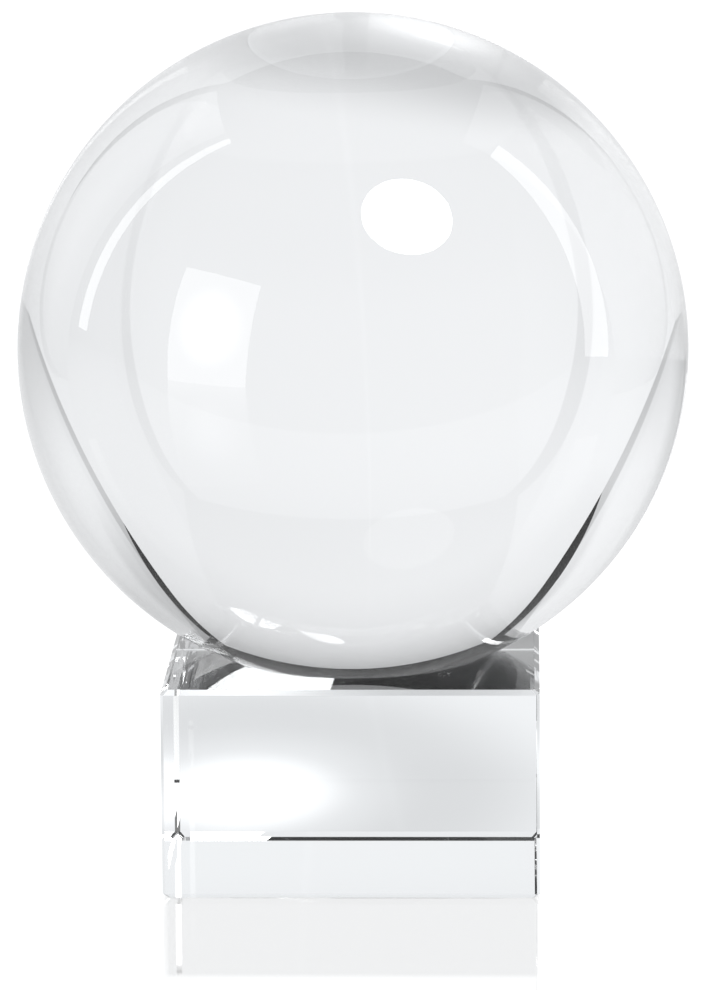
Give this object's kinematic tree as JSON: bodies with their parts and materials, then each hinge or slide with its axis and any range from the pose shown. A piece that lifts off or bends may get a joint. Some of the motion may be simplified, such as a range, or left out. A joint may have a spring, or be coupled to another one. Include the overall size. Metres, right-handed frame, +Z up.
{
  "type": "crystal ball on stand",
  "caption": "Solid clear glass ball resting in the dished seat of a clear square glass block stand; the ball lifts straight out.",
  "frame": {"origin": "middle of the block's flat underside, on the surface it stands on", "axes": "+Z up through the middle of the block and the ball; X and Y square to the block's sides, -Y towards the viewer"},
  "size_m": [0.11, 0.11, 0.1401],
  "materials": {
    "ball_glass": "polished, water clear",
    "block_glass": "polished, water clear, finely ground chamfers"
  },
  "bodies": {
    "stand": {"stand_block": "block_glass"},
    "ball": {"crystal_ball": "ball_glass"}
  },
  "joints": [
    {"name": "ball_lift", "type": "slide", "parent": "stand", "child": "ball", "axis": [0, 0, 1], "range_m": [0, 0.04]}
  ]
}
